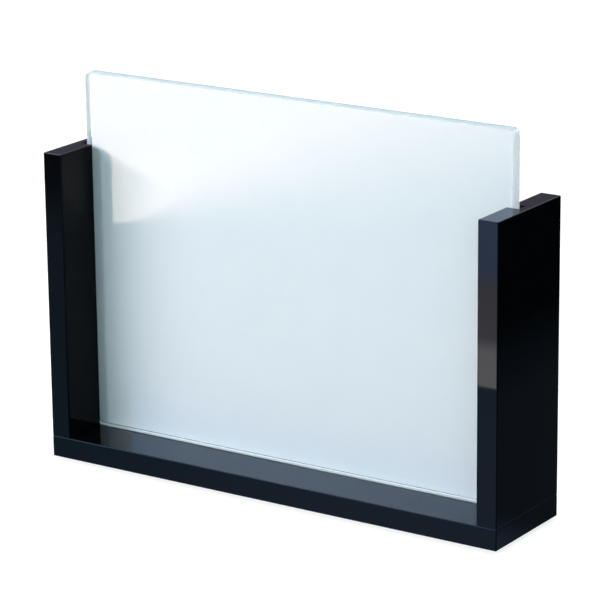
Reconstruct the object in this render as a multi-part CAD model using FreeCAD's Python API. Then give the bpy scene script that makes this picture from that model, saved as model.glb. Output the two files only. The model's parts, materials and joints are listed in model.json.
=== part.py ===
# Glass picture stand. A single glass panel, white-coated on the back so that a picture can be
# printed on it, stands upright between two grooved posts on a low base board. The posts stand
# on the base, flush with its ends, and are held by countersunk wood screws from below. Four
# felt pads carry the stand. The panel is only slotted in: it lifts straight up and out.
#
# Lengths are in millimetres. X runs along the stand, Y from front to back and Z up. The origin
# is at the centre of the footprint, on the surface that the pads rest on.
import FreeCAD, Part
import os

Vector = FreeCAD.Vector

# Glass panel: an 8 by 6 inch blank with ground edges
GLASS_WIDTH = 203.2
GLASS_HEIGHT = 152.4
GLASS_THICKNESS = 5.0
GLASS_CORNER_RADIUS = 2.5
GLASS_ARRIS = 0.45  # width of the bevel ground along every edge
COATING_THICKNESS = 0.1
COATING_MARGIN = 0.25  # bare glass left between the arris and the coating

# Grooves that hold the panel
GROOVE_BITE = 3.1  # how far each side of the panel reaches into its groove
GROOVE_END_PLAY = 2.4  # free depth left beyond the panel's side
GROOVE_FACE_PLAY = 0.3  # gap on the panel's front, and the same on its back
GROOVE_BACK_WALL = 3.5  # board left behind the groove
GROOVE_EASE = 0.25  # bevel along the groove's mouth

# Boards
STAND_DEPTH = 48.0
BASE_THICKNESS = 9.0
POST_HEIGHT = 122.0
EDGE_RADIUS = 0.45  # rounding that the lacquer leaves on every outer edge

# Wood screws, two to a post, from below
SCREW_LENGTH = 25.0
SCREW_DIAMETER = 3.0
SCREW_POINT_LENGTH = 3.5
SCREW_POINT_FLAT = 0.3  # diameter left at the tip
SCREW_HEAD_DIAMETER = 5.8
SCREW_HEAD_RIM = 0.3  # straight edge of the head, below its cone
SCREW_HEAD_SINK = 0.4  # how far the head lies above the base's underside
SCREW_FACE_INSET = 10.0  # from the stand's front or back face to the screw's axis
SCREW_HOLE_PLAY = 0.1  # radial gap in the base
PILOT_DIAMETER = 2.4  # hole in the post that the thread bites into
PILOT_RUNOUT = 1.0  # free depth beyond the screw's tip
CROSS_SPAN = 3.2  # tip to tip of the recess, at the head's face
CROSS_FLOOR_SPAN = 1.2  # tip to tip at the recess's floor
CROSS_WIDTH = 0.7  # of each wing
CROSS_DEPTH = 1.3

# Felt pads
PAD_DIAMETER = 10.0
PAD_THICKNESS = 1.5
PAD_END_INSET = 21.0  # from the stand's end to the pad's centre
PAD_FACE_INSET = 11.0  # from the stand's front or back face to the pad's centre
PAD_EDGE_BEVEL = 0.3

CUT_OVERRUN = 1.0  # how far every cutting tool runs past what it cuts

# Sizes that follow
groove_depth = GROOVE_BITE + GROOVE_END_PLAY
panel_thickness = GLASS_THICKNESS + COATING_THICKNESS
groove_width = panel_thickness + 2 * GROOVE_FACE_PLAY
post_thickness = groove_depth + GROOVE_BACK_WALL
inner_width = GLASS_WIDTH - 2 * GROOVE_BITE
stand_width = inner_width + 2 * post_thickness
base_bottom = PAD_THICKNESS
base_top = base_bottom + BASE_THICKNESS
panel_front = -panel_thickness / 2
screw_x = (inner_width + post_thickness) / 2
screw_y = STAND_DEPTH / 2 - SCREW_FACE_INSET
screw_bottom = base_bottom + SCREW_HEAD_SINK
pad_x = stand_width / 2 - PAD_END_INSET
pad_y = STAND_DEPTH / 2 - PAD_FACE_INSET

SIDES = {"left": -1, "right": 1}
ENDS = {"front": -1, "rear": 1}


def box(x_range, y_range, z_range):
    """An upright box between two places on each axis."""
    sizes = [high - low for low, high in (x_range, y_range, z_range)]
    return Part.makeBox(*sizes, Vector(x_range[0], y_range[0], z_range[0]))


def eased_board(x_range, y_range, z_range):
    """A lacquered board: a box whose twelve edges are rounded."""
    board = box(x_range, y_range, z_range)
    return board.makeFillet(EDGE_RADIUS, board.Edges)


def turned(profile, x, y):
    """A solid turned about the upright axis through x, y from (radius, height) points."""
    points = [Vector(radius, 0, height) for radius, height in profile]
    face = Part.Face(Part.makePolygon(points + points[:1]))
    solid = face.revolve(Vector(), Vector(0, 0, 1), 360)
    solid.translate(Vector(x, y, 0))
    return solid


def screw_hole(side, end):
    """The clearance hole and countersink that one screw needs in the base."""
    shank = SCREW_DIAMETER / 2 + SCREW_HOLE_PLAY
    head = SCREW_HEAD_DIAMETER / 2 + SCREW_HOLE_PLAY
    rim_top = screw_bottom + SCREW_HEAD_RIM
    bottom = base_bottom - CUT_OVERRUN
    top = base_top + CUT_OVERRUN
    profile = [
        (0, bottom),
        (head, bottom),
        (head, rim_top),
        (shank, rim_top + head - shank),
        (shank, top),
        (0, top),
    ]
    return turned(profile, side * screw_x, end * screw_y)


def base_board():
    """The base, drilled for the four screws."""
    half_width = stand_width / 2
    half_depth = STAND_DEPTH / 2
    board = eased_board((-half_width, half_width), (-half_depth, half_depth), (base_bottom, base_top))
    for side in SIDES.values():
        for end in ENDS.values():
            board = board.cut(screw_hole(side, end))
    return board


def groove_cutter(side):
    """The groove's section, with its eased mouth, run past both ends of the post."""
    mouth = side * inner_width / 2
    floor = mouth + side * groove_depth
    eased = mouth + side * GROOVE_EASE
    outside = mouth - side * CUT_OVERRUN
    half = groove_width / 2
    flared = half + GROOVE_EASE
    bottom = base_top - CUT_OVERRUN
    outline = [
        (floor, -half),
        (eased, -half),
        (mouth, -flared),
        (outside, -flared),
        (outside, flared),
        (mouth, flared),
        (eased, half),
        (floor, half),
    ]
    points = [Vector(x, y, bottom) for x, y in outline]
    face = Part.Face(Part.makePolygon(points + points[:1]))
    return face.extrude(Vector(0, 0, POST_HEIGHT + 2 * CUT_OVERRUN))


def pilot_hole(side, end):
    """The hole in a post's foot that one screw is driven into."""
    bottom = base_top - CUT_OVERRUN
    top = screw_bottom + SCREW_LENGTH + PILOT_RUNOUT
    start = Vector(side * screw_x, end * screw_y, bottom)
    return Part.makeCylinder(PILOT_DIAMETER / 2, top - bottom, start)


def post(side):
    """One post: grooved from end to end on its inner face and drilled for two screws."""
    faces = sorted((side * inner_width / 2, side * stand_width / 2))
    half_depth = STAND_DEPTH / 2
    board = eased_board(faces, (-half_depth, half_depth), (base_top, base_top + POST_HEIGHT))
    board = board.cut(groove_cutter(side))
    for end in ENDS.values():
        board = board.cut(pilot_hole(side, end))
    return board


def rounded_plate(inset, radius, front, thickness):
    """An upright plate as large as the panel less an inset all round, with round corners."""
    half_width = GLASS_WIDTH / 2 - inset
    bottom = base_top + inset
    top = base_top + GLASS_HEIGHT - inset
    plate = box((-half_width, half_width), (front, front + thickness), (bottom, top))
    corners = [edge for edge in plate.Edges if edge.BoundBox.YLength > thickness / 2]
    return plate.makeFillet(radius, corners)


def glass_panel():
    """The glass: round corners, and a ground arris along both faces' outlines."""
    plate = rounded_plate(0, GLASS_CORNER_RADIUS, panel_front, GLASS_THICKNESS)
    outlines = [edge for edge in plate.Edges if edge.BoundBox.YLength < GLASS_THICKNESS / 2]
    return plate.makeChamfer(GLASS_ARRIS, outlines)


def picture_coating():
    """The white printing surface on the panel's back, just short of the arris all round."""
    inset = GLASS_ARRIS + COATING_MARGIN
    radius = GLASS_CORNER_RADIUS - inset
    return rounded_plate(inset, radius, panel_front + GLASS_THICKNESS, COATING_THICKNESS)


def cross_recess():
    """The tapered cross that a screwdriver fits, pointing up into a head at the origin."""
    rings = []
    for span, height in ((CROSS_SPAN, 0), (CROSS_FLOOR_SPAN, CROSS_DEPTH)):
        x = span / 2
        y = CROSS_WIDTH / 2
        points = [Vector(*at, height) for at in ((-x, -y), (x, -y), (x, y), (-x, y))]
        rings.append(Part.makePolygon(points + points[:1]))
    wing = Part.makeLoft(rings, True, True)
    crossing = wing.copy()
    crossing.rotate(Vector(), Vector(0, 0, 1), 90)
    return wing.fuse(crossing)


def wood_screw(side, end):
    """A countersunk wood screw, head down, with its thread drawn at full diameter."""
    shank = SCREW_DIAMETER / 2
    head = SCREW_HEAD_DIAMETER / 2
    rim_top = screw_bottom + SCREW_HEAD_RIM
    tip = screw_bottom + SCREW_LENGTH
    profile = [
        (0, screw_bottom),
        (head, screw_bottom),
        (head, rim_top),
        (shank, rim_top + head - shank),
        (shank, tip - SCREW_POINT_LENGTH),
        (SCREW_POINT_FLAT / 2, tip),
        (0, tip),
    ]
    screw = turned(profile, side * screw_x, end * screw_y)
    recess = cross_recess()
    recess.translate(Vector(side * screw_x, end * screw_y, screw_bottom))
    return screw.cut(recess)


def felt_pad(side, end):
    """A round felt pad under the base, its lower edge slightly bevelled."""
    radius = PAD_DIAMETER / 2
    profile = [
        (0, 0),
        (radius - PAD_EDGE_BEVEL, 0),
        (radius, PAD_EDGE_BEVEL),
        (radius, PAD_THICKNESS),
        (0, PAD_THICKNESS),
    ]
    return turned(profile, side * pad_x, end * pad_y)


def all_parts():
    """Every piece of the stand by its node's name."""
    parts = {
        "base_board": base_board(),
        "glass_panel": glass_panel(),
        "picture_coating": picture_coating(),
    }
    for side_name, side in SIDES.items():
        parts[f"{side_name}_post"] = post(side)
        for end_name, end in ENDS.items():
            parts[f"{side_name}_{end_name}_screw"] = wood_screw(side, end)
            parts[f"{side_name}_{end_name}_pad"] = felt_pad(side, end)
    return parts


def main():
    """Writes one STEP file for each piece and prints its size."""
    os.makedirs("parts", exist_ok=True)
    for name, shape in all_parts().items():
        solid = shape.Solids[0]
        solid.exportStep(f"parts/{name}.step")
        bounds = solid.BoundBox
        print(f"{name}: {bounds.XLength:.1f} x {bounds.YLength:.1f} x {bounds.ZLength:.1f} mm")


main()
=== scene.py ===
"""Dresses a glass picture stand and lights it for one photograph.

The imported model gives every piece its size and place. This script gives the pieces their
finishes, models the screws' threads and the felt of the pads, and sets up the studio and the
camera. Lengths are in metres, angles in degrees unless a name says otherwise.
"""

import json
import logging
import math
import random
from dataclasses import dataclass, field
from enum import Enum
from typing import Any, Callable, Sequence

import bmesh
import bpy
from mathutils import Matrix, Vector

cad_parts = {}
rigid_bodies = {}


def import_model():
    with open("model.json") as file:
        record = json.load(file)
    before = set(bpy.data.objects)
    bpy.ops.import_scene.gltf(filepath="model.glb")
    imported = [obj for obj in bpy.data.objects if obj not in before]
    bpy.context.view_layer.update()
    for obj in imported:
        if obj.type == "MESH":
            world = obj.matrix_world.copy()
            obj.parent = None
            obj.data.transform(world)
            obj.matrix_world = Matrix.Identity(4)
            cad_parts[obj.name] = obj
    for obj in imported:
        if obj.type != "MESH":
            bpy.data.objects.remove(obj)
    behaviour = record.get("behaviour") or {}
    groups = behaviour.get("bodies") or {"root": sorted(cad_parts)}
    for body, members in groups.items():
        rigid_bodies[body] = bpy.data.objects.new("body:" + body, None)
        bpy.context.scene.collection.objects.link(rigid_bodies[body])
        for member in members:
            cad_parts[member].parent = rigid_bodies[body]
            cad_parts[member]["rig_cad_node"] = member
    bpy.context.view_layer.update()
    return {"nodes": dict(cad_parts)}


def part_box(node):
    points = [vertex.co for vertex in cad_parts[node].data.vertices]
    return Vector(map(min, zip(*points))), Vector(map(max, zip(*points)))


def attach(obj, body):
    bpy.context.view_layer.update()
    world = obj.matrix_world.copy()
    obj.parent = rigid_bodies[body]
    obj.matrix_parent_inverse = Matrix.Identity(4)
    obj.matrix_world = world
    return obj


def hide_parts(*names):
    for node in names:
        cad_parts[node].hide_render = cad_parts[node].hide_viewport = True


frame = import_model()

log = logging.getLogger("picture_stand")

Colour = tuple[float, float, float]
Place = tuple[float, float]  # on the floor
Point = tuple[float, float, float]
Layers = tuple[float, float]  # how many finer layers a noise has, and how strong they are
MILLIMETRE = 0.001
WHITE: Colour = (1.0, 1.0, 1.0)


class Side(Enum):
    """Which post, screw or pad: the one on the left or on the right."""

    LEFT = "left"
    RIGHT = "right"


class End(Enum):
    """Which screw or pad of a side: the one at the front or at the rear."""

    FRONT = "front"
    REAR = "rear"


class Body(Enum):
    """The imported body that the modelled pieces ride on."""

    STAND = "stand"


class Slot(Enum):
    """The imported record's material slots."""

    LACQUER = "black_lacquer"
    GLASS = "clear_glass"
    COATING = "white_coating"
    STEEL = "zinc_plated_steel"
    FELT = "black_felt"


class Graph:
    """A node tree, with short calls that add nodes and join them."""

    def __init__(self, tree: bpy.types.NodeTree) -> None:
        """Empties the node tree of a material, a lamp or the world, and keeps it."""
        tree.nodes.clear()
        self.tree = tree

    def add(
        self, kind: str, inputs: dict[str | int, Any] | None = None, **settings: Any
    ) -> bpy.types.Node:
        """Adds one node.

        Args:
            kind: The node's Blender type, without the ShaderNode in front.
            inputs: Values or sockets for its inputs, by name or number.
            **settings: Other properties of the node.

        Returns:
            The node.
        """
        node = self.tree.nodes.new(f"ShaderNode{kind}")
        for name, value in settings.items():
            setattr(node, name, value)
        for name, value in (inputs or {}).items():
            if isinstance(value, bpy.types.NodeSocket):
                self.tree.links.new(value, node.inputs[name])
            elif isinstance(value, tuple) and len(value) == 3 and node.inputs[name].type == "RGBA":
                node.inputs[name].default_value = (*value, 1.0)
            else:
                node.inputs[name].default_value = value
        return node

    def maths(self, operation: str, a: Any, b: Any = 0.0, clamp: bool = False) -> bpy.types.NodeSocket:
        """Works out a and b, each a value or a socket, and keeps the result from 0 to 1 if clamped."""
        return self.add("Math", {0: a, 1: b}, operation=operation, use_clamp=clamp).outputs[0]

    def between(
        self, value: Any, low: float, high: float, to_low: float = 0.0, to_high: float = 1.0
    ) -> bpy.types.NodeSocket:
        """Maps a value smoothly from low and high to the second range, and keeps it in there."""
        places = {"Value": value, "From Min": low, "From Max": high, "To Min": to_low, "To Max": to_high}
        return self.add("MapRange", places, interpolation_type="SMOOTHSTEP").outputs[0]

    def noise(
        self, vector: Any, scale: float, detail: float = 2.0, roughness: float = 0.5
    ) -> bpy.types.NodeSocket:
        """Reads noise at a place: its scale is in cells to the metre, its detail in finer layers."""
        inputs = {"Vector": vector, "Scale": scale, "Detail": detail, "Roughness": roughness}
        return self.add("TexNoise", inputs).outputs[0]

    def blend(self, share: Any, first: Any, second: Any) -> bpy.types.NodeSocket:
        """Mixes two colours.

        Args:
            share: The second one's share, or its socket.
            first: The first colour or socket.
            second: The second colour or socket.

        Returns:
            The mixed colour's socket.
        """
        node = self.add("Mix", data_type="RGBA")
        sockets = (node.inputs["Factor"], node.inputs[6], node.inputs[7])
        for socket, value in zip(sockets, (share, first, second)):
            if isinstance(value, bpy.types.NodeSocket):
                self.tree.links.new(value, socket)
            else:
                socket.default_value = (*value, 1.0) if isinstance(value, tuple) else value
        return node.outputs[2]

    def ramp(
        self, value: Any, span: tuple[float, float], stops: Sequence[tuple[float, Colour]]
    ) -> bpy.types.NodeSocket:
        """Maps a value to colours.

        Args:
            value: The value's socket.
            span: Where the colours start and end.
            stops: Places from 0 to 1 along the span, with their colours.

        Returns:
            The colour's socket.
        """
        limits = {"Value": value, "From Min": span[0], "From Max": span[1]}
        node = self.add("ValToRGB", {0: self.add("MapRange", limits).outputs[0]})
        elements = node.color_ramp.elements
        while len(elements) < len(stops):
            elements.new(1.0)
        for element, (place, colour) in zip(elements, stops):
            element.position = place
            element.color = (*colour, 1.0)
        return node.outputs[0]

    def shuffle(
        self, share: Any, first: bpy.types.NodeSocket, second: bpy.types.NodeSocket
    ) -> bpy.types.NodeSocket:
        """Mixes two shaders, by the second one's share."""
        return self.add("MixShader", {0: share, 1: first, 2: second}).outputs[0]

    def finish(self, surface: bpy.types.NodeSocket, volume: bpy.types.NodeSocket | None = None) -> None:
        """Adds the output.

        Args:
            surface: The surface shader's socket.
            volume: The volume shader's socket, if there is one.
        """
        inputs: dict[str | int, Any] = {"Surface": surface}
        if volume is not None:
            inputs["Volume"] = volume
        self.add("OutputMaterial", inputs)


def new_material(name: str) -> tuple[bpy.types.Material, Graph]:
    """Makes an empty material.

    Args:
        name: Its name.

    Returns:
        The material and the graph of its nodes.
    """
    material = bpy.data.materials.new(name)
    material.use_nodes = True
    return material, Graph(material.node_tree)


@dataclass(frozen=True)
class BlackLacquer:
    """Polished black lacquer: nearly a mirror, with a faint ripple, wiping marks and dust.

    The photograph shows little shine on the faces that look sideways, so they have less of it here
    too, and the edges that turn towards them lose it on the way.
    """

    colour: Colour = (0.0012, 0.0018, 0.0026)
    index: float = 1.3
    shine: float = 0.5
    side_shine: float = 0.1
    side_turn: tuple[float, float] = (0.05, 0.5)
    polish: tuple[float, float] = (0.03, 0.06)
    cloud_scale: float = 28.0
    cloud_layers: Layers = (4.0, 0.6)
    cloud_range: tuple[float, float] = (0.35, 0.7)
    ripple_scale: float = 90.0
    ripple_detail: float = 1.0
    ripple_height: float = 0.001 * MILLIMETRE
    dust_scale: float = 330.0
    dust_largest_share: float = 0.09
    dust_cells_share: float = 0.05
    dust_colour: Colour = (0.16, 0.17, 0.19)
    dust_roughness: float = 0.7

    def dust(self, graph: Graph, place: bpy.types.NodeSocket) -> bpy.types.NodeSocket:
        """Marks the specks of dust.

        Args:
            graph: The material's graph.
            place: The socket of the place on the piece.

        Returns:
            The socket of a mask that is 1 on a speck.
        """
        cells = graph.add("TexVoronoi", {"Vector": place, "Scale": self.dust_scale})
        pick = graph.add("SeparateColor", {0: cells.outputs["Color"]})
        chosen = graph.maths("LESS_THAN", pick.outputs[0], self.dust_cells_share)
        radius = graph.maths("MULTIPLY", pick.outputs[1], self.dust_largest_share)
        near = graph.maths("LESS_THAN", cells.outputs["Distance"], radius)
        return graph.maths("MULTIPLY", chosen, near)

    def material(self) -> bpy.types.Material:
        """Makes the material.

        Returns:
            The material.
        """
        made, graph = new_material("black_lacquer")
        coordinates = graph.add("TexCoord")
        place = coordinates.outputs["Object"]
        normal = graph.add("SeparateXYZ", {0: coordinates.outputs["Normal"]})
        sideways = graph.maths("ABSOLUTE", normal.outputs["X"])
        shine = graph.between(sideways, *self.side_turn, self.shine, self.side_shine)
        dust = self.dust(graph, place)
        cloud = graph.noise(place, self.cloud_scale, *self.cloud_layers)
        polish = graph.between(cloud, *self.cloud_range, *self.polish)
        rough = graph.maths("MAXIMUM", polish, graph.maths("MULTIPLY", dust, self.dust_roughness))
        ripple = graph.noise(place, self.ripple_scale, self.ripple_detail)
        height = graph.add("Bump", {"Strength": 1.0, "Distance": self.ripple_height, "Height": ripple})
        shader = graph.add(
            "BsdfPrincipled",
            {
                "Base Color": graph.blend(dust, self.colour, self.dust_colour),
                "Roughness": rough,
                "IOR": self.index,
                "Specular IOR Level": shine,
                "Normal": height.outputs[0],
            },
        )
        graph.finish(shader.outputs[0])
        return made


@dataclass(frozen=True)
class ClearGlass:
    """Float glass: polished faces, ground edges and arrises, and a slight green in depth.

    The ground parts are clear glass mixed with frost. Its share differs between the left, the right,
    the top and the foot, and its colour between the sides, the top, the top's rear rim and the foot.
    These differences are painted light and shade: the left edge carries more frost than the right,
    and the top, a dark blue line on its rear rim, and the foot have darker frost as painted shade.
    Lamp light and scattered light pass straight through the glass, but the foot throws most of the
    scattered light back, on to the coating above it.
    """

    index: float = 1.52
    edge_roughness: float = 0.1
    edge_grain_scale: float = 9000.0
    edge_grain_share: float = 0.35
    edge_grain_range: tuple[float, float] = (0.3, 0.7)
    face_cosine: float = 0.9
    # Painted light and shade: the ground edge carries more frost on the left than on the right.
    left_frost_and_painted_light: float = 0.64
    right_frost_and_painted_light: float = 0.36
    frost_change: float = 10.0 * MILLIMETRE
    # Painted shade: the share of the darker frost on the top.
    top_frost_and_painted_shade: float = 0.75
    # Painted shade: a greyer frost at the foot.
    foot_painted_shade: Colour = (0.55, 0.61, 0.65)
    side_colour: Colour = (0.89, 0.91, 0.95)
    # Painted shade: a darker frost on the top.
    top_painted_shade: Colour = (0.48, 0.55, 0.63)
    top_height: float = 0.6 * MILLIMETRE
    # Painted shade: a dark blue line on the top's rear rim.
    rim_painted_shade: Colour = (0.28, 0.305, 0.41)
    rim_depth: float = 1.3 * MILLIMETRE
    foot_height: float = 0.05 * MILLIMETRE
    foot_bounce: float = 0.93
    wave_scale: float = 14.0
    wave_detail: float = 1.0
    wave_height: float = 0.004 * MILLIMETRE
    depth_colour: Colour = (0.72, 0.95, 0.93)
    depth_density: float = 8.0
    shadow_colour: Colour = (0.97, 0.985, 0.985)

    def material(self) -> bpy.types.Material:
        """Makes the material.

        Returns:
            The material.
        """
        made, graph = new_material("clear_glass")
        coordinates = graph.add("TexCoord")
        place = coordinates.outputs["Object"]
        normal = graph.add("SeparateXYZ", {0: coordinates.outputs["Normal"]})
        facing = graph.maths("ABSOLUTE", normal.outputs["Y"])
        ground = graph.maths("LESS_THAN", facing, self.face_cosine)
        grain = graph.noise(place, self.edge_grain_scale)
        finest = self.edge_roughness * (1.0 - self.edge_grain_share)
        coarsest = self.edge_roughness * (1.0 + self.edge_grain_share)
        rough = graph.between(grain, *self.edge_grain_range, finest, coarsest)
        wave = graph.noise(place, self.wave_scale, self.wave_detail)
        bump = graph.add("Bump", {"Strength": 1.0, "Distance": self.wave_height, "Height": wave})
        glass = graph.add(
            "BsdfPrincipled",
            {
                "Base Color": WHITE,
                "Roughness": graph.maths("MULTIPLY", ground, rough),
                "IOR": self.index,
                "Transmission Weight": 1.0,
                "Normal": bump.outputs[0],
            },
        )
        low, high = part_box("glass_panel")
        at = graph.add("SeparateXYZ", {0: place})
        foot = graph.maths("LESS_THAN", at.outputs["Z"], low.z + self.foot_height)
        top = graph.maths("GREATER_THAN", at.outputs["Z"], high.z - self.top_height)
        rear = graph.maths("GREATER_THAN", at.outputs["Y"], high.y - self.rim_depth)
        middle = (low.x + high.x) / 2
        change = (middle - self.frost_change, middle + self.frost_change)
        # Painted light and shade: the frost's share changes from the left edge to the right.
        side_frost_and_painted_light = graph.between(at.outputs["X"], *change, self.left_frost_and_painted_light, self.right_frost_and_painted_light)
        # Painted shade: where the darker frost of the top and of the foot shows.
        shaded_top_and_foot = graph.maths("MAXIMUM", graph.maths("MULTIPLY", top, self.top_frost_and_painted_shade), foot)
        share = graph.maths("MULTIPLY", ground, graph.maths("MAXIMUM", side_frost_and_painted_light, shaded_top_and_foot))
        edge_colour = graph.blend(foot, self.side_colour, self.foot_painted_shade)
        top_painted_shade = graph.blend(rear, self.top_painted_shade, self.rim_painted_shade)
        # The frost's colour holds painted shade on the top, on its rear rim and at the foot.
        frost_and_painted_shade = graph.add("BsdfDiffuse", {"Color": graph.blend(top, edge_colour, top_painted_shade)})
        seen = graph.shuffle(share, glass.outputs[0], frost_and_painted_shade.outputs[0])
        path = graph.add("LightPath")
        kept = graph.maths("MULTIPLY", foot, self.foot_bounce)
        spread_light = graph.maths("SUBTRACT", path.outputs["Is Diffuse Ray"], kept, clamp=True)
        lamp_ray = graph.maths("MAXIMUM", path.outputs["Is Shadow Ray"], spread_light)
        open_way = graph.add("BsdfTransparent", {"Color": self.shadow_colour})
        absorbed = {"Color": self.depth_colour, "Density": self.depth_density}
        depth = graph.add("VolumeAbsorption", absorbed)
        graph.finish(graph.shuffle(lamp_ray, seen, open_way.outputs[0]), depth.outputs[0])
        return made


@dataclass(frozen=True)
class WhiteCoating:
    """A smooth white printing coat with the faintest mottle."""

    colour: Colour = (0.80, 0.87, 0.92)
    mottle_colour: Colour = (0.785, 0.86, 0.915)
    mottle_scale: float = 60.0
    mottle_layers: Layers = (5.0, 0.65)
    mottle_range: tuple[float, float] = (0.35, 0.7)
    grain_scale: float = 1800.0
    grain_range: tuple[float, float] = (0.3, 0.7)
    grain_height: float = 0.004 * MILLIMETRE
    roughness: tuple[float, float] = (0.42, 0.55)

    def material(self) -> bpy.types.Material:
        """Makes the material.

        Returns:
            The material.
        """
        made, graph = new_material("white_coating")
        place = graph.add("TexCoord").outputs["Object"]
        cloud = graph.noise(place, self.mottle_scale, *self.mottle_layers)
        mottle = graph.between(cloud, *self.mottle_range)
        grain = graph.noise(place, self.grain_scale)
        bump = graph.add("Bump", {"Strength": 1.0, "Distance": self.grain_height, "Height": grain})
        shader = graph.add(
            "BsdfPrincipled",
            {
                "Base Color": graph.blend(mottle, self.colour, self.mottle_colour),
                "Roughness": graph.between(grain, *self.grain_range, *self.roughness),
                "Normal": bump.outputs[0],
            },
        )
        graph.finish(shader.outputs[0])
        return made


@dataclass(frozen=True)
class ZincPlatedSteel:
    """Bright zinc plating with a slightly uneven, faintly blue sheen."""

    colour: Colour = (0.66, 0.68, 0.70)
    stain: Colour = (0.52, 0.52, 0.50)
    patch_scale: float = 420.0
    patch_layers: Layers = (4.0, 0.6)
    patch_range: tuple[float, float] = (0.4, 0.7)
    scratch_scale: float = 5200.0
    scratch_layers: Layers = (3.0, 0.7)
    scratch_height: float = 0.002 * MILLIMETRE
    roughness: tuple[float, float] = (0.2, 0.38)

    def material(self) -> bpy.types.Material:
        """Makes the material.

        Returns:
            The material.
        """
        made, graph = new_material("zinc_plated_steel")
        place = graph.add("TexCoord").outputs["Object"]
        cloud = graph.noise(place, self.patch_scale, *self.patch_layers)
        patch = graph.between(cloud, *self.patch_range)
        scratch = graph.noise(place, self.scratch_scale, *self.scratch_layers)
        bump = graph.add("Bump", {"Strength": 1.0, "Distance": self.scratch_height, "Height": scratch})
        shader = graph.add(
            "BsdfPrincipled",
            {
                "Base Color": graph.blend(patch, self.colour, self.stain),
                "Metallic": 1.0,
                "Roughness": graph.between(patch, 0.0, 1.0, *self.roughness),
                "Normal": bump.outputs[0],
            },
        )
        graph.finish(shader.outputs[0])
        return made


@dataclass(frozen=True)
class BlackFelt:
    """Pressed felt: matt, matted fibres with a little sheen."""

    colour: Colour = (0.012, 0.012, 0.013)
    fibre_colour: Colour = (0.05, 0.05, 0.052)
    fibre_scale: float = 2400.0
    fibre_layers: Layers = (5.0, 0.75)
    fibre_range: tuple[float, float] = (0.45, 0.75)
    fibre_height: float = 0.08 * MILLIMETRE
    clump_scale: float = 700.0
    clump_detail: float = 2.0
    clump_shift: float = 2.0 * MILLIMETRE
    rough_range: tuple[float, float] = (0.3, 0.7)
    roughness: tuple[float, float] = (0.85, 1.0)
    sheen: float = 0.3
    sheen_roughness: float = 0.5

    def material(self) -> bpy.types.Material:
        """Makes the material.

        Returns:
            The material.
        """
        made, graph = new_material("black_felt")
        place = graph.add("TexCoord").outputs["Object"]
        clumps = {"Vector": place, "Scale": self.clump_scale, "Detail": self.clump_detail}
        bent = graph.add("TexNoise", clumps)
        bend = {0: bent.outputs["Color"], "Scale": self.clump_shift}
        moved = graph.add("VectorMath", bend, operation="SCALE")
        swirl = graph.add("VectorMath", {0: place, 1: moved.outputs[0]}, operation="ADD")
        fibre = graph.noise(swirl.outputs[0], self.fibre_scale, *self.fibre_layers)
        light_fibre = graph.between(fibre, *self.fibre_range)
        bump = graph.add("Bump", {"Strength": 1.0, "Distance": self.fibre_height, "Height": fibre})
        shader = graph.add(
            "BsdfPrincipled",
            {
                "Base Color": graph.blend(light_fibre, self.colour, self.fibre_colour),
                "Roughness": graph.between(fibre, *self.rough_range, *self.roughness),
                "Sheen Weight": self.sheen,
                "Sheen Roughness": self.sheen_roughness,
                "Normal": bump.outputs[0],
            },
        )
        graph.finish(shader.outputs[0])
        return made


def dress(piece: bpy.types.Object, material: bpy.types.Material, slot: Slot) -> None:
    """Gives a piece its finish and reports it.

    Args:
        piece: The piece.
        material: The finish, in place of what the piece had.
        slot: The record's slot that the finish stands for.
    """
    piece.data.materials.clear()
    piece.data.materials.append(material)
    low, high = (Vector(corner) for corner in (piece.bound_box[0], piece.bound_box[6]))
    size = " x ".join(f"{length / MILLIMETRE:.1f}" for length in high - low)
    log.info("%s: %s mm, %s", piece.name, size, slot.value)


def placed(name: str, data: bpy.types.ID) -> bpy.types.Object:
    """Makes an object and adds it to the scene.

    Args:
        name: The object's name.
        data: Its mesh, light or camera.

    Returns:
        The object.
    """
    made = bpy.data.objects.new(name, data)
    bpy.context.scene.collection.objects.link(made)
    return made


def mesh_of(work: bmesh.types.BMesh, name: str) -> bpy.types.Mesh:
    """Turns finished work into a mesh.

    Args:
        work: The work, which is freed.
        name: The mesh's name.

    Returns:
        The mesh.
    """
    mesh = bpy.data.meshes.new(name)
    work.to_mesh(mesh)
    work.free()
    return mesh


def sheet(name: str, corners: Sequence[Point]) -> tuple[bpy.types.Object, Graph]:
    """Makes a flat piece of the stage, with an empty material.

    Args:
        name: The name of both.
        corners: Its four corners, in order round it.

    Returns:
        The piece and the graph of its material's nodes.
    """
    mesh = bpy.data.meshes.new(name)
    mesh.from_pydata(corners, [], [(0, 1, 2, 3)])
    made, graph = new_material(name)
    mesh.materials.append(made)
    return placed(name, mesh), graph


def band(
    work: bmesh.types.BMesh, lower: Sequence[bmesh.types.BMVert], upper: Sequence[bmesh.types.BMVert]
) -> None:
    """Joins two rings of points with faces that look outwards.

    Args:
        work: The mesh being built.
        lower: The lower ring, anticlockwise as seen from above.
        upper: The upper ring, with as many points.
    """
    for step in range(len(lower)):
        after = (step + 1) % len(lower)
        work.faces.new((lower[step], lower[after], upper[after], upper[step]))


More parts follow.
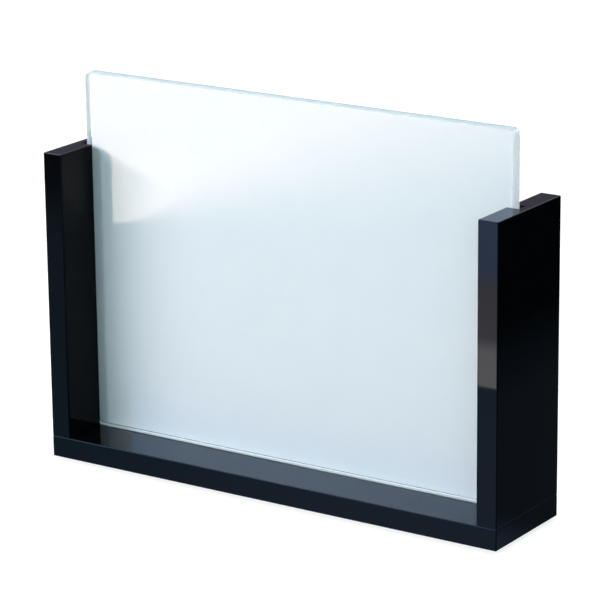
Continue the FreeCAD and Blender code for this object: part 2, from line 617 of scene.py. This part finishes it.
def lathe(
    name: str, rings: Sequence[float], radius: Callable[[float, float], float], sides: int
) -> bpy.types.Object:
    """Makes a closed solid about the upright axis through the origin.

    Args:
        name: The piece's name.
        rings: The heights of its rings, from the bottom to the top.
        radius: Gives the radius at an angle in radians and at a ring's height.
        sides: How many points each ring has.

    Returns:
        The piece.
    """
    work = bmesh.new()
    rows = []
    for height in rings:
        row = []
        for step in range(sides):
            angle = math.tau * step / sides
            reach = radius(angle, height)
            row.append(work.verts.new((reach * math.cos(angle), reach * math.sin(angle), height)))
        rows.append(row)
    for lower, upper in zip(rows, rows[1:]):
        band(work, lower, upper)
    work.faces.new(list(reversed(rows[0])))
    work.faces.new(rows[-1])
    return placed(name, mesh_of(work, name))


def spaced(low: float, high: float, step: float) -> list[float]:
    """Evenly spaced values from low to high, about a step apart, both ends included."""
    count = max(1, round((high - low) / step))
    return [low + (high - low) * index / count for index in range(count + 1)]


@dataclass
class WoodScrew:
    """A countersunk wood screw with a cross recess, head down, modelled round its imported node."""

    side: Side
    end: End
    finish: bpy.types.Material
    head_rim: float = 0.3 * MILLIMETRE
    shank_radius: float = 1.3 * MILLIMETRE
    core_radius: float = 1.0 * MILLIMETRE
    crest_radius: float = 1.5 * MILLIMETRE
    pitch: float = 1.35 * MILLIMETRE
    ridge_share: float = 0.34
    shank_length: float = 8.5 * MILLIMETRE
    point_length: float = 3.5 * MILLIMETRE
    point_radius: float = 0.12 * MILLIMETRE
    recess_span: float = 3.2 * MILLIMETRE
    recess_floor_span: float = 1.2 * MILLIMETRE
    recess_width: float = 0.7 * MILLIMETRE
    recess_depth: float = 1.3 * MILLIMETRE
    mouth_share: float = 1.15
    overrun_share: float = 0.1
    sides: int = 40
    cone_step: float = 0.36 * MILLIMETRE
    shank_step: float = 0.9 * MILLIMETRE
    thread_step: float = 0.09 * MILLIMETRE

    @property
    def node(self) -> str:
        """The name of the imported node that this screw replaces."""
        return f"{self.side.value}_{self.end.value}_screw"

    def radius(self, angle: float, height: float, length: float, head: float) -> float:
        """The screw's radius.

        Args:
            angle: Where round the screw, in radians.
            height: How far above the head's face.
            length: The screw's length.
            head: The head's radius.

        Returns:
            The radius there.
        """
        cone = head - max(0.0, height - self.head_rim)
        if cone > self.shank_radius:
            return cone
        if height < self.shank_length:
            return self.shank_radius
        to_tip = (length - height) / self.point_length
        taper = min(1.0, max(0.0, to_tip))
        run_in = min(1.0, (height - self.shank_length) / self.pitch)
        turn = ((height - self.shank_length) / self.pitch - angle / math.tau) % 1.0
        ridge = max(0.0, 1.0 - abs(turn - 0.5) / self.ridge_share)
        core = self.shank_radius + (self.core_radius - self.shank_radius) * run_in
        full = core + (self.crest_radius - core) * ridge * run_in
        return self.point_radius + (full - self.point_radius) * taper

    def recess(self) -> bpy.types.Object:
        """Makes the solid that the driver's cross takes out of the head.

        Returns:
            The solid.
        """
        mouth = (self.recess_span * self.mouth_share, -self.recess_depth * self.overrun_share)
        floor = (self.recess_floor_span, self.recess_depth)
        work = bmesh.new()
        for turn in (0.0, math.pi / 2):
            rings = []
            for span, height in (mouth, floor):
                x, y = span / 2, self.recess_width / 2
                spin = Matrix.Rotation(turn, 3, "Z")
                corners = [Vector((*at, height)) for at in ((-x, -y), (x, -y), (x, y), (-x, y))]
                rings.append([work.verts.new(spin @ corner) for corner in corners])
            low, high = rings
            work.faces.new(list(reversed(low)))
            work.faces.new(high)
            band(work, low, high)
        return placed("recess", mesh_of(work, "recess"))

    def build(self) -> bpy.types.Object:
        """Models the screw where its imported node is.

        Returns:
            The piece.
        """
        low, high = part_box(self.node)
        length = high.z - low.z
        head = (high.x - low.x) / 2
        cone_top = self.head_rim + head - self.shank_radius
        rings = [0.0, *spaced(self.head_rim, cone_top, self.cone_step)]
        rings += spaced(cone_top, self.shank_length, self.shank_step)[1:]
        rings += spaced(self.shank_length, length, self.thread_step)[1:]
        name = f"{self.side.value}_{self.end.value}_threaded_screw"
        piece = lathe(
            name, rings, lambda angle, height: self.radius(angle, height, length, head), self.sides
        )
        cutter = self.recess()
        cut = piece.modifiers.new("recess", "BOOLEAN")
        cut.operation, cut.object, cut.solver, cut.use_self = "DIFFERENCE", cutter, "EXACT", True
        graph = bpy.context.evaluated_depsgraph_get()
        mesh = bpy.data.meshes.new_from_object(piece.evaluated_get(graph))
        piece.modifiers.clear()
        piece.data = mesh
        bpy.data.objects.remove(cutter)
        piece.data.transform(Matrix.Translation(((low.x + high.x) / 2, (low.y + high.y) / 2, low.z)))
        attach(piece, Body.STAND.value)
        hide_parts(self.node)
        dress(piece, self.finish, Slot.STEEL)
        return piece


@dataclass
class FeltPad:
    """A round pad cut from pressed felt, its rim slightly ragged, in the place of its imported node."""

    side: Side
    end: End
    finish: bpy.types.Material
    rim_rounding: float = 0.3 * MILLIMETRE
    raggedness: float = 0.12 * MILLIMETRE
    unevenness: float = 0.05 * MILLIMETRE
    sides: int = 96
    layers: int = 9
    cap_shares: tuple[float, ...] = (0.8, 0.55, 0.3)

    @property
    def node(self) -> str:
        """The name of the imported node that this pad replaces."""
        return f"{self.side.value}_{self.end.value}_pad"

    def build(self) -> bpy.types.Object:
        """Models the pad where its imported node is.

        Returns:
            The piece.
        """
        low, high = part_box(self.node)
        thickness = high.z - low.z
        outer = (high.x - low.x) / 2
        draw = random.Random(self.node)
        work = bmesh.new()
        centre = Vector(((low.x + high.x) / 2, (low.y + high.y) / 2, low.z))
        rows = []
        for layer in range(self.layers):
            height = thickness * layer / (self.layers - 1)
            to_face = min(height, thickness - height)
            rounding = max(0.0, self.rim_rounding - to_face)
            inset = self.rim_rounding - math.sqrt(self.rim_rounding**2 - rounding**2)
            row = []
            for step in range(self.sides):
                angle = math.tau * step / self.sides
                reach = outer - inset - draw.random() * self.raggedness
                at = Vector((reach * math.cos(angle), reach * math.sin(angle), height))
                row.append(work.verts.new(centre + at))
            rows.append(row)
        for lower, upper in zip(rows, rows[1:]):
            band(work, lower, upper)
        self.cap(work, rows[0], centre, outer, self.unevenness, draw, True)
        self.cap(work, rows[-1], centre + Vector((0, 0, thickness)), outer, 0.0, draw, False)
        mesh = mesh_of(work, self.node)
        piece = placed(f"{self.side.value}_{self.end.value}_felt", mesh)
        for face in mesh.polygons:
            face.use_smooth = True
        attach(piece, Body.STAND.value)
        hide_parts(self.node)
        dress(piece, self.finish, Slot.FELT)
        return piece

    def cap(
        self,
        work: bmesh.types.BMesh,
        rim: list[bmesh.types.BMVert],
        centre: Vector,
        outer: float,
        rise: float,
        draw: random.Random,
        down: bool,
    ) -> None:
        """Closes one face of the pad with rings of points that lie a little uneven.

        Args:
            work: The mesh being built.
            rim: The points round the face.
            centre: The middle of the face.
            outer: The pad's radius.
            rise: How far a point may lie inside the face.
            draw: The source of the unevenness.
            down: Whether the face looks down.
        """
        rings = [rim]
        for share in self.cap_shares:
            ring = []
            for step in range(self.sides):
                angle = math.tau * step / self.sides
                lift = draw.random() * rise
                at = Vector((share * outer * math.cos(angle), share * outer * math.sin(angle), lift))
                ring.append(work.verts.new(centre + at))
            rings.append(ring)
        for wide, narrow in zip(rings, rings[1:]):
            for step in range(self.sides):
                after = (step + 1) % self.sides
                corners = (wide[step], narrow[step], narrow[after], wide[after])
                work.faces.new(corners if down else tuple(reversed(corners)))
        middle = work.verts.new(centre)
        for step in range(self.sides):
            after = (step + 1) % self.sides
            corners = (middle, rings[-1][after], rings[-1][step])
            work.faces.new(corners if down else tuple(reversed(corners)))


@dataclass
class Stand:
    """The base board, the two grooved posts, their screws and the felt pads."""

    lacquer: BlackLacquer = field(default_factory=BlackLacquer)
    steel: ZincPlatedSteel = field(default_factory=ZincPlatedSteel)
    felt: BlackFelt = field(default_factory=BlackFelt)

    def build(self) -> None:
        """Dresses the boards and models the screws and the pads."""
        lacquer = self.lacquer.material()
        for node in ("base_board", *(f"{side.value}_post" for side in Side)):
            dress(frame["nodes"][node], lacquer, Slot.LACQUER)
        steel, felt = self.steel.material(), self.felt.material()
        for side in Side:
            for end in End:
                WoodScrew(side, end, steel).build()
                FeltPad(side, end, felt).build()


@dataclass
class Panel:
    """The glass and the white coating on its back."""

    glass: ClearGlass = field(default_factory=ClearGlass)
    coating: WhiteCoating = field(default_factory=WhiteCoating)
    bond: float = 0.01 * MILLIMETRE

    def build(self) -> None:
        """Dresses both, and keeps their faces from lying in one plane with their neighbours'.

        The glass's faces draw back by the bond's depth, so that its foot clears the base, and the
        coating's faces grow by twice that, so that its front still lies within the glass.
        """
        glass = frame["nodes"]["glass_panel"]
        coating = frame["nodes"]["picture_coating"]
        dress(glass, self.glass.material(), Slot.GLASS)
        dress(coating, self.coating.material(), Slot.COATING)
        for piece, growth in ((glass, -self.bond), (coating, 2 * self.bond)):
            shift = piece.modifiers.new("bond", "DISPLACE")
            shift.mid_level, shift.strength = 0.0, growth


@dataclass(frozen=True)
class Lamp:
    """One soft box, which shows neither to the camera nor in polish or glass."""

    name: str
    place: Point
    watts: float
    colour: Colour
    size: tuple[float, float] = (0.0, 0.0)
    target: Point = (0.0, 0.0, 0.08)

    def light(self) -> bpy.types.Light:
        """Makes the lamp's light.

        Returns:
            The light, without its power and colour.
        """
        light = bpy.data.lights.new(self.name, "AREA")
        light.shape = "RECTANGLE"
        light.size, light.size_y = self.size
        return light

    def build(self) -> bpy.types.Object:
        """Hangs the lamp and turns it to its target.

        Returns:
            The lamp.
        """
        light = self.light()
        light.energy = self.watts
        light.color = self.colour
        lamp = placed(self.name, light)
        lamp.location = self.place
        towards = Vector(self.target) - Vector(self.place)
        lamp.rotation_mode = "QUATERNION"
        lamp.rotation_quaternion = towards.to_track_quat("-Z", "Y")
        lamp.visible_camera = lamp.visible_glossy = lamp.visible_transmission = False
        log.info("%s: %.1f W at %.2f m", self.name, self.watts, towards.length)
        return lamp


@dataclass(frozen=True)
class WindowLight(Lamp):
    """Low light from a window, which a sill cuts off below and a lintel above.

    The sill, the lintel and the gain are given by points that their edges pass through, in the plane
    of the panel's coating. The sill's shadow is sharp at its left end and blurred at its right. The
    gain strengthens the light beside the left post, and fades out to the right and upwards.
    """

    cone: float = 18.0
    cone_blend: float = 0.5
    radius: float = 0.8 * MILLIMETRE
    sill: tuple[Point, Point] = ((-0.090, 0.0024, 0.100), (0.040, 0.0024, 0.1425))
    blur: tuple[float, float] = (0.0015, 0.05)
    lintel: tuple[Point, Point] = ((0.10, 0.0024, 0.165), (0.10, 0.0024, 0.195))
    gain: Colour = (2.75, 3.3, 3.85)
    gain_start: Point = (-0.090, 0.0024, 0.112)
    gain_end: Point = (-0.050, 0.0024, 0.132)

    def slopes(self, point: Point) -> tuple[float, float]:
        """Where a point is seen from the lamp.

        Args:
            point: The point.

        Returns:
            How far to the right and how far up it is, for each metre ahead.
        """
        towards = Vector(self.target) - Vector(self.place)
        turn = towards.to_track_quat("-Z", "Y").inverted()
        seen = turn @ (Vector(point) - Vector(self.place))
        return -seen.x / seen.z, -seen.y / seen.z

    def light(self) -> bpy.types.Light:
        """Makes the light, with nodes for the sill, the lintel and the gain.

        Returns:
            The light, without its power and colour.
        """
        light = bpy.data.lights.new(self.name, "SPOT")
        light.spot_size, light.spot_blend = math.radians(self.cone), self.cone_blend
        light.shadow_soft_size = self.radius
        light.use_nodes = True
        graph = Graph(light.node_tree)
        way = graph.add("SeparateXYZ", {0: graph.add("TexCoord").outputs["Normal"]})
        ahead = graph.maths("MULTIPLY", way.outputs["Z"], -1.0)
        across = graph.maths("DIVIDE", way.outputs["X"], ahead)
        up = graph.maths("DIVIDE", way.outputs["Y"], ahead)
        (left, low), (right, high) = (self.slopes(point) for point in self.sill)
        spread = {"Value": across, "From Min": left, "From Max": right}
        edge = graph.add("MapRange", {**spread, "To Min": low, "To Max": high}, clamp=False).outputs[0]
        ends = {"To Min": self.blur[0], "To Max": self.blur[1]}
        blur = graph.add("MapRange", {**spread, **ends}).outputs[0]
        above = graph.maths("DIVIDE", graph.maths("SUBTRACT", up, edge), blur)
        lintel_low, lintel_high = (self.slopes(point)[1] for point in self.lintel)
        below = graph.between(up, lintel_low, lintel_high, 1.0, 0.0)
        share = graph.maths("MULTIPLY", graph.between(above, -0.5, 0.5), below)
        (gain_left, gain_low), (gain_right, gain_high) = (
            self.slopes(point) for point in (self.gain_start, self.gain_end)
        )
        faded = graph.maths(
            "MAXIMUM",
            graph.between(across, gain_left, gain_right),
            graph.between(up, gain_low, gain_high),
        )
        tint = graph.blend(faded, self.gain, WHITE)
        glow = graph.add("Emission", {"Color": tint, "Strength": share})
        graph.add("OutputLight", {0: glow.outputs[0]})
        return light


@dataclass(frozen=True)
class MirrorCard:
    """A card on the floor that only polished faces mirror, with its colours laid out along it."""

    name: str
    near: tuple[Place, Place]
    far: tuple[Place, Place]
    stretches: tuple[tuple[float, Colour], ...]
    height: float = 0.5 * MILLIMETRE

    def build(self) -> None:
        """Lays the card on the floor."""
        corners = [(*corner, self.height) for corner in (*self.near, *reversed(self.far))]
        card, graph = sheet(self.name, corners)
        place = graph.add("SeparateXYZ", {0: graph.add("TexCoord").outputs["Object"]})
        span = (self.far[0][1], self.near[0][1])
        colour = graph.ramp(place.outputs["Y"], span, self.stretches)
        graph.finish(graph.add("Emission", {"Color": colour}).outputs[0])
        card.visible_camera = card.visible_diffuse = card.visible_transmission = False
        card.visible_shadow = card.visible_volume_scatter = False


@dataclass
class Studio:
    """A white floor and backdrop, soft lamps, and the darker room that polish mirrors.

    The camera sees white, direct and through glass. Rays that only mirror see the room instead:
    walls that are lighter higher up, a blue skylight, a floor in graded colours and two cards. The
    fill lights everything a little, and the back more.
    """

    post_card: MirrorCard = MirrorCard(
        "post_card",
        near=((-0.0117, -0.203), (0.03, -0.203)),
        far=((-0.1713, -0.476), (-0.10, -0.476)),
        stretches=(
            (0.0, (1.2, 1.8, 3.2)),
            (0.38, (1.2, 1.7, 3.0)),
            (0.48, (1.7, 1.65, 2.0)),
            (0.76, (1.9, 1.85, 2.2)),
            (0.83, (4.2, 4.1, 4.4)),
            (1.0, (4.4, 4.3, 4.6)),
        ),
    )
    glass_card: MirrorCard = MirrorCard(
        "glass_card",
        near=((-0.1165, -0.0486), (0.078, -0.0486)),
        far=((-0.589, -0.65), (-0.272, -0.65)),
        stretches=(
            (0.0, (0.05, 0.05, 0.06)),
            (0.75, (0.05, 0.05, 0.06)),
            (0.92, (0.05, 0.12, 0.2)),
            (1.0, (0.05, 0.32, 0.95)),
        ),
        height=0.3 * MILLIMETRE,
    )
    floor_half: float = 8.0
    floor_colour: Colour = (0.35, 0.35, 0.35)
    floor_glow: float = 0.79
    floor_change: float = 20.0 * MILLIMETRE
    fill: float = 0.2
    rear_fill: float = 1.3
    rear_way: tuple[float, float] = (0.3, 0.6)
    room_low: Colour = (0.19, 0.175, 0.23)
    room_high: Colour = (3.0, 3.0, 3.8)
    room_heights: tuple[float, float] = (0.33, 0.55)
    skylight: Colour = (0.2, 2.7, 7.0)
    skylight_way: Point = (-0.534, -0.798, 0.28)
    skylight_spread: tuple[float, float] = (13.0, 9.0)
    front_span: tuple[float, float] = (-0.4, 0.1)
    front_floor: tuple[tuple[float, Colour], ...] = (
        (0.0, (0.01, 0.01, 0.03)),
        (0.15, (0.19, 0.32, 0.46)),
        (0.55, (0.19, 0.37, 0.57)),
        (0.85, (0.4, 0.62, 1.0)),
        (1.0, (0.42, 0.64, 1.05)),
    )
    back_span: tuple[float, float] = (0.1, 0.35)
    back_floor: tuple[tuple[float, Colour], ...] = (
        (0.0, (0.15, 0.21, 0.29)),
        (0.4, (0.15, 0.21, 0.29)),
        (0.65, (0.0, 0.0, 0.0)),
        (1.0, (0.0, 0.0, 0.0)),
    )
    lamps: tuple[Lamp, ...] = (
        Lamp("key", (-0.85, -1.15, 0.6), 15.0, (1.0, 0.91, 0.95), size=(1.3, 0.15)),
        Lamp("left", (-1.25, -0.75, 0.35), 2.3, (1.0, 0.74, 0.57), size=(0.8, 0.5)),
        Lamp("right", (0.9, -1.1, 0.5), 3.2, (0.59, 0.86, 1.0), size=(0.7, 0.6)),
        Lamp("front", (-0.18, -1.2, 0.4), 2.3, (0.86, 0.97, 1.0), size=(0.04, 0.04)),
        Lamp(
            "top", (0.1, 0.1, 1.3), 11.8, (0.75, 1.0, 0.94), size=(0.9, 0.9), target=(0.0, 0.0, 0.0)
        ),
        WindowLight(
            "window", (-0.425, -1.174, 0.323), 19.5, (1.0, 0.61, 0.42), target=(-0.03, 0.0, 0.12)
        ),
    )

    def ray_kinds(self, graph: Graph) -> tuple[bpy.types.NodeSocket, bpy.types.NodeSocket]:
        """Tells the rays that see the white backdrop from those that only mirror the room.

        Args:
            graph: The graph that asks.

        Returns:
            The sockets of two masks: seen direct or through glass, and mirrored.
        """
        path = graph.add("LightPath")
        through = path.outputs["Is Transmission Ray"]
        seen = graph.maths("MAXIMUM", path.outputs["Is Camera Ray"], through)
        mirrored = graph.maths("SUBTRACT", path.outputs["Is Glossy Ray"], seen, clamp=True)
        return seen, mirrored

    def world(self) -> None:
        """Sets the fill light, the white backdrop and the room."""
        world = bpy.data.worlds.new("studio")
        bpy.context.scene.world = world
        world.use_nodes = True
        graph = Graph(world.node_tree)
        seen, mirrored = self.ray_kinds(graph)
        way_out = graph.add("TexCoord").outputs["Generated"]
        way = graph.add("SeparateXYZ", {0: way_out})
        height = graph.between(way.outputs["Z"], *self.room_heights)
        walls = graph.blend(height, self.room_low, self.room_high)
        centre = tuple(Vector(self.skylight_way).normalized())
        along = graph.add("VectorMath", {0: way_out, 1: centre}, operation="DOT_PRODUCT")
        edge, core = (math.cos(math.radians(angle)) for angle in self.skylight_spread)
        glow = graph.between(along.outputs["Value"], edge, core)
        colour = graph.blend(glow, walls, self.skylight)
        room = graph.add("Background", {"Color": colour})
        strength = graph.between(way.outputs["Y"], *self.rear_way, self.fill, self.rear_fill)
        fill = graph.add("Background", {"Color": WHITE, "Strength": strength})
        white = graph.add("Background", {"Color": WHITE, "Strength": 1.0})
        lit = graph.shuffle(seen, fill.outputs[0], white.outputs[0])
        graph.add("OutputWorld", {"Surface": graph.shuffle(mirrored, lit, room.outputs[0])})

    def floor(self) -> None:
        """Lays the floor."""
        half = self.floor_half
        corners = [(-half, -half, 0), (half, -half, 0), (half, half, 0), (-half, half, 0)]
        piece, graph = sheet("floor", corners)
        seen, mirrored = self.ray_kinds(graph)
        place = graph.add("SeparateXYZ", {0: graph.add("TexCoord").outputs["Object"]})
        front = graph.ramp(place.outputs["X"], self.front_span, self.front_floor)
        back = graph.ramp(place.outputs["X"], self.back_span, self.back_floor)
        behind = graph.between(place.outputs["Y"], -self.floor_change, self.floor_change)
        lit = graph.add("BsdfDiffuse", {"Color": self.floor_colour})
        glow = graph.add("Emission", {"Strength": graph.maths("MULTIPLY", seen, self.floor_glow)})
        shown = graph.add("AddShader", {0: lit.outputs[0], 1: glow.outputs[0]})
        room = graph.add("Emission", {"Color": graph.blend(behind, front, back)})
        graph.finish(graph.shuffle(mirrored, shown.outputs[0], room.outputs[0]))

    def build(self) -> None:
        """Sets up the backdrop, the floor and the lamps."""
        self.world()
        self.floor()
        for card in (self.post_card, self.glass_card):
            card.build()
        for lamp in self.lamps:
            lamp.build()


@dataclass
class Camera:
    """The photograph's camera, from a fit of the stand's corners in a square picture."""

    place: Point = (0.68056, -1.01445, 0.43604)
    yaw: float = 33.777
    pitch: float = 16.248
    roll: float = 0.619
    focal_pixels: float = 3168.3
    picture_pixels: float = 600.0
    sensor: float = 36.0
    clip: tuple[float, float] = (0.01, 100.0)

    def build(self) -> None:
        """Sets the camera up and makes it the scene's."""
        data = bpy.data.cameras.new("camera")
        data.sensor_width = self.sensor
        data.lens = self.sensor * self.focal_pixels / self.picture_pixels
        camera = placed("camera", data)
        turn = Matrix.Rotation(math.radians(self.yaw), 4, "Z")
        tilt = Matrix.Rotation(math.radians(90.0 - self.pitch), 4, "X")
        lean = Matrix.Rotation(math.radians(-self.roll), 4, "Z")
        camera.matrix_world = Matrix.Translation(self.place) @ turn @ tilt @ lean
        data.clip_start, data.clip_end = self.clip
        bpy.context.scene.camera = camera
        log.info("camera: %.0f mm lens", data.lens)


def main() -> None:
    """Builds the classes in order."""
    logging.basicConfig(level=logging.INFO, format="%(message)s")
    bpy.context.scene.view_settings.view_transform = "Standard"
    Camera().build()
    Studio().build()
    Stand().build()
    Panel().build()


if __name__ == "__main__":
    main()
